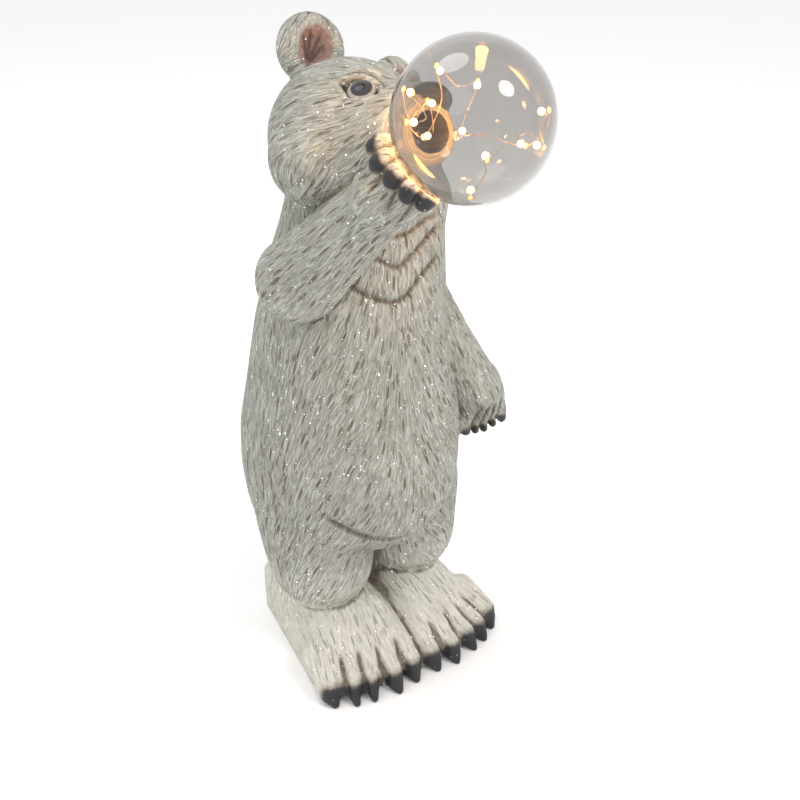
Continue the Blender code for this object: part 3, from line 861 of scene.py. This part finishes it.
def hair_lines(net, place, hair, across, tuft, spacing, length):
    """Fine lines along the fur, each tuft with its own."""
    along, side, parts = tuft_frame(net, place, hair, across, tuft)
    spot = net.node("ShaderNodeCombineXYZ")
    net.feed(spot.inputs[0], net.times(side, 1.0 / spacing))
    net.feed(spot.inputs[1], net.times(along, 1.0 / length))
    net.feed(spot.inputs[2], net.times(parts.outputs[0], 60.0))
    return net.noise(spot.outputs[0], 1.0, 1.5, 0.5)


def dabs(net, place, hair, across, tuft, length, width):
    """One tapered dab of wash in the middle of each tuft, and how strong it is."""
    along, side, parts = tuft_frame(net, place, hair, across, tuft)
    share = net.times(along, 2.0 / length)
    body = net.math("SUBTRACT", 1.0, net.times(share, share))
    wide = net.times(net.remap(parts.outputs[2], 0.0, 1.0, 0.6, 1.15), width)
    edge = net.math("SUBTRACT", net.math("ABSOLUTE", side), net.times(body, wide))
    mask = net.remap(edge, 0.00020, -0.00022)
    return net.times(mask, net.remap(parts.outputs[1], 0.12, 0.75, 0.0, 1.0))


def resin_material():
    net = Net("Cast resin fur")
    place = net.place()
    hair = net.attribute("hair", vector=True)
    stroke = net.attribute("stroke")
    wash = net.attribute("wash")
    dark = net.attribute("dark")
    ear = net.attribute("ear")
    vein_and_eye_shade = net.attribute("vein_and_eye_shade")
    warm = net.attribute("warm")
    broad = net.noise(place, 38.0, 4.0)
    fine = net.noise(place, 420.0, 3.0, 0.6)
    grain = net.noise(place, 1700.0, 2.0, 0.6)
    across = net.attribute("across", vector=True)
    fur = net.attribute("fur")
    moved = net.vector("ADD", place, (0.013, 0.007, 0.021))
    line_a = hair_lines(net, place, hair, across, 0.017, 0.00085, 0.012)
    line_b = hair_lines(net, moved, hair, across, 0.014, 0.0012, 0.014)
    large = dabs(net, place, hair, across, 0.0092, 0.0092, 0.00068)
    small = dabs(net, moved, hair, across, 0.0074, 0.0070, 0.00045)
    dab = net.math("MAXIMUM", large, net.times(small, 0.6))
    dab = net.times(dab, fur)
    raised = net.attribute("raised")
    lines = net.math("MAXIMUM", net.remap(line_a, 0.50, 0.62), net.remap(line_b, 0.53, 0.64))
    lines = net.times(lines, fur)
    lines = net.times(lines, net.remap(warm, 0.0, 1.0, 1.0, 0.5))

    # Cream, paler low on the legs and in single grains, and paler on the rises of the fur as
    # painted light.
    cream = net.mix(net.remap(broad, 0.3, 0.7), CREAM_SHADE, CREAM_LIGHT)
    cream = net.mix(net.times(warm, 0.9), cream, LEG_CREAM)
    cream = net.mix(net.times(raised, 0.15), cream, RAISED_HIGHLIGHT_CREAM)
    specks = net.times(net.remap(grain, 0.45, 0.75), 0.3)
    cream = net.mix(specks, cream, GRAIN_CREAM)

    # Brown wash in the fur lines, strokes, ears, veins and lip rings; brown wash and painted
    # shade in the creases; painted shade in the eye openings.
    colour = net.mix(net.times(lines, 0.22), cream, LINE_BROWN)
    ragged = net.times(net.math("SUBTRACT", line_a, 0.5), 0.6)
    stain = net.times(net.remap(net.math("ADD", stroke, ragged), 0.3, 0.8), 0.45)
    faded = net.times(dab, net.remap(warm, 0.0, 1.0, 1.0, 0.4))
    stain = net.math("MAXIMUM", stain, faded)
    colour = net.mix(net.times(stain, 0.80), colour, STROKE_BROWN)
    uneven = net.times(net.math("SUBTRACT", fine, 0.5), 0.6)
    uneven = net.math("ADD", 1.0, net.math("ADD", uneven, ragged))
    # Brown wash, with painted shade in creases and hollows.
    crease = net.remap(net.times(wash, uneven), 0.12, 0.95)
    colour = net.mix(net.times(crease, 0.88), colour, CREASE_SHADE_BROWN)
    inner = net.mix(net.remap(fine, 0.35, 0.7), EAR_SHADE, EAR_PINK)
    colour = net.mix(net.times(net.remap(ear, 0.12, 0.55), 0.9), colour, inner)
    # Dark ear veins, and painted shade in the eye openings.
    colour = net.mix(net.times(vein_and_eye_shade, 0.88), colour, VEIN_AND_EYE_SHADE_DARK)
    from_mouth = net.vector("SUBTRACT", place, tuple(MOUTH_CENTRE))
    off_axis = net.vector("LENGTH", net.vector("CROSS_PRODUCT", from_mouth, tuple(AXIS)))
    waves = net.math("SINE", net.times(off_axis, math.tau / 0.0013))
    by_lips = net.remap(net.vector("LENGTH", from_mouth), 0.0215, 0.0185)
    rings = net.times(net.remap(waves, 0.0, 0.9), by_lips)
    colour = net.mix(net.times(rings, 0.5), colour, LIP_BROWN)

    # Nearly black claws and nose, painted shade inside the mouth, and a patchy brown edge.
    patchy = net.times(net.math("SUBTRACT", fine, 0.5), 0.45)
    edge = net.remap(net.math("ADD", dark, patchy), 0.10, 0.85)
    brown_edge = net.mix(net.remap(dark, 0.45, 0.95), CLAW_EDGE, CLAW_BLACK)
    colour = net.mix(edge, colour, brown_edge)

    # Glitter: a small flake in some cells, painted white and made to glow as a painted glint.
    flakes = net.cells(place, 1.0 / 0.0016)
    pick = net.node("ShaderNodeSeparateColor")
    net.feed(pick.inputs[0], flakes.outputs["Color"])
    chosen = net.math("GREATER_THAN", pick.outputs[0], 0.74)
    size = net.times(net.math("POWER", pick.outputs[1], 3.0), 0.25)
    small = net.math("LESS_THAN", flakes.outputs["Distance"], net.math("ADD", size, 0.05))
    sparkle = net.times(chosen, small)
    sparkle = net.times(sparkle, net.remap(broad, 0.35, 0.6, 0.3, 1.0))
    off_claws = net.math("SUBTRACT", 1.0, net.times(edge, 0.8))
    sparkle = net.times(sparkle, off_claws)
    colour = net.mix(sparkle, colour, WHITE)
    net.feed(net.shader.inputs["Base Color"], colour)
    rough = net.remap(fine, 0.2, 0.8, 0.62, 0.80)
    rough = net.math("SUBTRACT", rough, net.times(edge, 0.30))
    glossy = net.math("SUBTRACT", 1.0, net.times(sparkle, 0.7))
    rough = net.times(rough, glossy)
    net.feed(net.shader.inputs["Roughness"], rough)
    net.shader.inputs["Specular IOR Level"].default_value = 0.32
    # The flakes glow though they are no lamp: a painted glint.
    net.feed(net.shader.inputs["Emission Color"], WHITE)
    net.feed(net.shader.inputs["Emission Strength"], net.times(sparkle, 1.1))
    height = net.math("ADD", net.times(lines, -1.0), net.times(grain, 0.30))
    height = net.math("SUBTRACT", height, net.times(dab, 1.3))
    height = net.math("SUBTRACT", height, net.times(rings, 0.8))
    net.feed(net.shader.inputs["Normal"], net.bump(height, 0.00070, 1.0))
    return net.material


def eye_material():
    net = Net("Painted eye")
    place = net.place()
    radius = net.vector("LENGTH", net.vector("MULTIPLY", place, (1.0, 1.0, 0.0)))
    grain = net.noise(place, 2600.0, 2.0)
    rim = net.remap(radius, 0.0064, 0.0074)
    iris = net.remap(radius, 0.0055, 0.0050)
    pupil = net.remap(radius, 0.0023, 0.0019)
    colour = net.mix(iris, (0.36, 0.34, 0.29, 1), (0.030, 0.033, 0.042, 1))
    colour = net.mix(net.times(grain, 0.25), colour, (0.08, 0.085, 0.10, 1))
    colour = net.mix(pupil, colour, (0.004, 0.004, 0.005, 1))
    colour = net.mix(rim, colour, (0.045, 0.035, 0.028, 1))
    net.feed(net.shader.inputs["Base Color"], colour)
    net.shader.inputs["Roughness"].default_value = 0.10
    net.shader.inputs["Specular IOR Level"].default_value = 0.30
    net.feed(net.shader.inputs["Normal"], net.bump(grain, 0.00003, 0.3))
    return net.material


def glass_material():
    net = Net("Clear globe glass")
    shader = net.shader
    shader.inputs["Base Color"].default_value = (0.655, 0.64, 0.625, 1)
    shader.inputs["Transmission Weight"].default_value = 1.0
    shader.inputs["Roughness"].default_value = 0.0
    shader.inputs["IOR"].default_value = 1.46
    return net.material


def wire_material():
    net = Net("Copper wire")
    grain = net.noise(net.place(), 900.0, 2.0)
    colour = net.mix(grain, (0.72, 0.50, 0.30, 1), (0.86, 0.72, 0.52, 1))
    net.feed(net.shader.inputs["Base Color"], colour)
    net.shader.inputs["Metallic"].default_value = 1.0
    net.feed(net.shader.inputs["Roughness"], net.remap(grain, 0.3, 0.7, 0.22, 0.38))
    return net.material


def bulb_material():
    net = Net("Warm bulb")
    grain = net.noise(net.place(), 700.0, 1.0)
    facing = net.node("ShaderNodeLayerWeight").outputs["Facing"]
    core = net.mix(grain, (1.0, 0.66, 0.25, 1), (1.0, 0.78, 0.40, 1))
    colour = net.mix(net.remap(facing, 0.1, 0.75), core, (1.0, 0.36, 0.05, 1))
    net.feed(net.shader.inputs["Base Color"], colour)
    net.feed(net.shader.inputs["Emission Color"], colour)
    net.shader.inputs["Emission Strength"].default_value = 1.6
    return net.material


def add(name, data, material):
    made = bpy.data.objects.new(name, data)
    bpy.context.scene.collection.objects.link(made)
    data.materials.append(material)
    return made


def ride(piece):
    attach(piece, "root")


def turned(name, outline, segments, place):
    """A closed ring of points (radius, height) turned about an axis."""
    bm = bmesh.new()
    rings = []
    for radius, height in outline:
        if radius < 1e-6:
            rings.append([bm.verts.new(place @ Vector((0, 0, height)))])
            continue
        rings.append([bm.verts.new(place @ Vector((radius * math.cos(i / segments * math.tau),
                                                   radius * math.sin(i / segments * math.tau),
                                                   height))) for i in range(segments)])
    for low, high in zip(rings, rings[1:]):
        for i in range(segments):
            j = (i + 1) % segments
            loop = []
            corners = (low[i % len(low)], low[j % len(low)],
                       high[j % len(high)], high[i % len(high)])
            for v in corners:
                if v not in loop:
                    loop.append(v)
            if len(loop) > 2:
                bm.faces.new(loop)
    bmesh.ops.recalc_face_normals(bm, faces=bm.faces)
    mesh = bpy.data.meshes.new(name)
    bm.to_mesh(mesh)
    bm.free()
    shade_smooth(mesh)
    return mesh


def globe_shell():
    """A blown shell with its neck, closed at the neck's end."""
    turn = AXIS.to_track_quat("Z", "Y").to_matrix().to_4x4()
    place = Matrix.Translation(GLOBE_CENTRE) @ turn
    end = -((GLOBE_CENTRE - MOUTH_CENTRE).length + NECK_LENGTH)
    outer, inner = GLOBE_RADIUS - GLASS_INSET, GLOBE_RADIUS - GLOBE_WALL
    neck = NECK_RADIUS - GLASS_INSET
    wall, rim, steps = neck - GLOBE_WALL, 0.0006, 48

    def arc(radius, meets):
        """Points from the far end round to where the neck meets the globe."""
        span = math.pi - math.asin(meets / radius)
        angles = [span * i / steps for i in range(steps + 1)]
        return [(radius * math.sin(angle), radius * math.cos(angle)) for angle in angles]

    outline = arc(outer, neck) + [(neck, end + rim), (neck - rim, end), (0.0, end)]
    inside = [(0.0, end + GLOBE_WALL), (wall, end + GLOBE_WALL)] + arc(inner, wall)[::-1]
    shell = turned("globe_outer", outline, 96, place)
    hollow = turned("globe_inner", inside, 96, place)
    hollow.flip_normals()
    bm = bmesh.new()
    bm.from_mesh(shell)
    bm.from_mesh(hollow)
    mesh = bpy.data.meshes.new("globe_glass")
    bm.to_mesh(mesh)
    bm.free()
    return mesh


def bulb_points():
    return [GLOBE_CENTRE + Vector(b).normalized() * GLOBE_RADIUS * BULB_REACH
            for b in BULBS]


def wire_curve():
    """A loose wire from the neck past every bulb."""
    spots = [bulb_points()[i] for i in WIRE_ORDER]
    rng = np.random.default_rng(8)
    path = [MOUTH_CENTRE - AXIS * 0.006, MOUTH_CENTRE + AXIS * 0.004, spots[0]]
    for last, spot in zip(spots, spots[1:]):
        middle = (last + spot) / 2
        push = Vector(rng.normal(size=3)) * 0.006
        middle = GLOBE_CENTRE + (middle - GLOBE_CENTRE) * 0.92 + push
        out = middle - GLOBE_CENTRE
        if out.length > GLOBE_RADIUS * WIRE_REACH:
            middle = GLOBE_CENTRE + out.normalized() * GLOBE_RADIUS * WIRE_REACH
        path += [middle, spot]
    smooth = []
    for i in range(len(path) - 1):
        p0, p1 = path[max(i - 1, 0)], path[i]
        p2, p3 = path[i + 1], path[min(i + 2, len(path) - 1)]
        for k in range(12):
            t = k / 12
            smooth.append(0.5 * ((2 * p1) + (p2 - p0) * t
                                 + (2 * p0 - 5 * p1 + 4 * p2 - p3) * t * t
                                 + (3 * p1 - p0 - 3 * p2 + p3) * t ** 3))
    smooth.append(path[-1])
    limit = GLOBE_RADIUS - GLOBE_WALL - 0.0006
    for i, p in enumerate(smooth):
        rel = p - GLOBE_CENTRE
        if rel.length > limit and rel.normalized().dot(-AXIS) < 0.96:
            smooth[i] = GLOBE_CENTRE + rel.normalized() * limit
    curve = bpy.data.curves.new("light_wire", "CURVE")
    curve.dimensions = "3D"
    curve.bevel_depth = WIRE_RADIUS
    curve.bevel_resolution = 2
    curve.use_fill_caps = True
    spline = curve.splines.new("POLY")
    spline.points.add(len(smooth) - 1)
    for point, p in zip(spline.points, smooth):
        point.co = (*p, 1.0)
    return curve


def bulb_mesh():
    """All the bulbs: small beads, each lit from within."""
    bm = bmesh.new()
    for spot in bulb_points():
        turn = (spot - GLOBE_CENTRE).to_track_quat("X", "Z").to_matrix().to_4x4()
        bmesh.ops.create_uvsphere(bm, u_segments=16, v_segments=10, radius=1.0,
                                  matrix=Matrix.Translation(spot) @ turn
                                  @ Matrix.Diagonal((*BULB_RADII, 1.0)))
    mesh = bpy.data.meshes.new("light_bulbs")
    bm.to_mesh(mesh)
    bm.free()
    return mesh


# The pieces.
resin = resin_material()
bear = add("bear_skin", sculpt(), resin)
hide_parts("bear")
ride(bear)

eye_paint = eye_material()
for side, name in ((RIGHT, "eye_right"), (LEFT, "eye_left")):
    centre, out, _, _ = eye_frame(side)
    bm = bmesh.new()
    bmesh.ops.create_uvsphere(bm, u_segments=48, v_segments=32,
                              radius=EYEBALL_RADIUS * UNIT)
    mesh = bpy.data.meshes.new(name)
    bm.to_mesh(mesh)
    bm.free()
    shade_smooth(mesh)
    eye = add(name, mesh, eye_paint)
    look = (out + FORWARD * 0.15 + UP * 0.12).normalized()
    eye.matrix_world = (Matrix.Translation((centre - out * EYEBALL_SET_BACK) * UNIT)
                        @ look.to_track_quat("Z", "Y").to_matrix().to_4x4())
    ride(eye)

glass = add("globe_glass", globe_shell(), glass_material())
glass.visible_shadow = False
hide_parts("globe")
ride(glass)
wire = add("light_wire", wire_curve(), wire_material())
ride(wire)
bulbs = add("light_bulbs", bulb_mesh(), bulb_material())
ride(bulbs)

# Floor, lights and camera.
floor_mesh = bpy.data.meshes.new("floor")
bm = bmesh.new()
bmesh.ops.create_grid(bm, x_segments=1, y_segments=1, size=30.0,
                      matrix=Matrix.Translation((0, 0, -0.0004)))
bm.to_mesh(floor_mesh)
bm.free()
ground = Net("Pale floor")
tone = ground.noise(ground.place(), 3.0, 2.0)
pale = ground.mix(tone, (0.95, 0.95, 0.95, 1), (0.97, 0.97, 0.97, 1))
ground.feed(ground.shader.inputs["Base Color"], pale)
ground.shader.inputs["Roughness"].default_value = 0.9
floor = add("floor", floor_mesh, ground.material)

bpy.context.scene.view_settings.view_transform = "Standard"
world = bpy.data.worlds.new("Studio")
bpy.context.scene.world = world
world.use_nodes = True
sky = world.node_tree.nodes["Background"]
sky.inputs["Color"].default_value = WHITE
sky.inputs["Strength"].default_value = WORLD_STRENGTH


def lamp(name, kind, where, power, colour=(1.0, 1.0, 1.0)):
    data = bpy.data.lights.new(name, kind)
    data.energy = power
    data.color = colour
    made = bpy.data.objects.new(name, data)
    bpy.context.scene.collection.objects.link(made)
    made.location = where
    return made


for name, where, size, power in LAMPS:
    made = lamp(name, "AREA", where, power)
    made.data.shape = "DISK"
    made.data.size = size
    aim = Vector((0, 0, 0.2)) - Vector(where)
    made.rotation_euler = aim.to_track_quat("-Z", "Y").to_euler()
for i, spot in enumerate(bulb_points()):
    where = GLOBE_CENTRE + (spot - GLOBE_CENTRE) * 0.9
    made = lamp("glow%02d" % i, "POINT", where, GLOW_POWER, GLOW_COLOUR)
    made.data.shadow_soft_size = GLOW_RADIUS

camera_data = bpy.data.cameras.new("camera")
camera_data.lens = CAMERA_LENS
camera_data.sensor_width = 36.0
camera_data.clip_start = 0.01
camera = bpy.data.objects.new("camera", camera_data)
bpy.context.scene.collection.objects.link(camera)
azimuth, pitch = math.radians(CAMERA_AZIMUTH), math.radians(CAMERA_PITCH)
back = Vector((-math.sin(azimuth) * math.cos(pitch), -math.cos(azimuth) * math.cos(pitch),
               math.sin(pitch)))
right = Vector((math.cos(azimuth), -math.sin(azimuth), 0.0))
over = back.cross(right)
target = Vector(CAMERA_TARGET) * UNIT
camera.matrix_world = (Matrix.Translation(target + back * CAMERA_DISTANCE * UNIT)
                       @ Matrix((right, over, back)).transposed().to_4x4())
bpy.context.scene.camera = camera
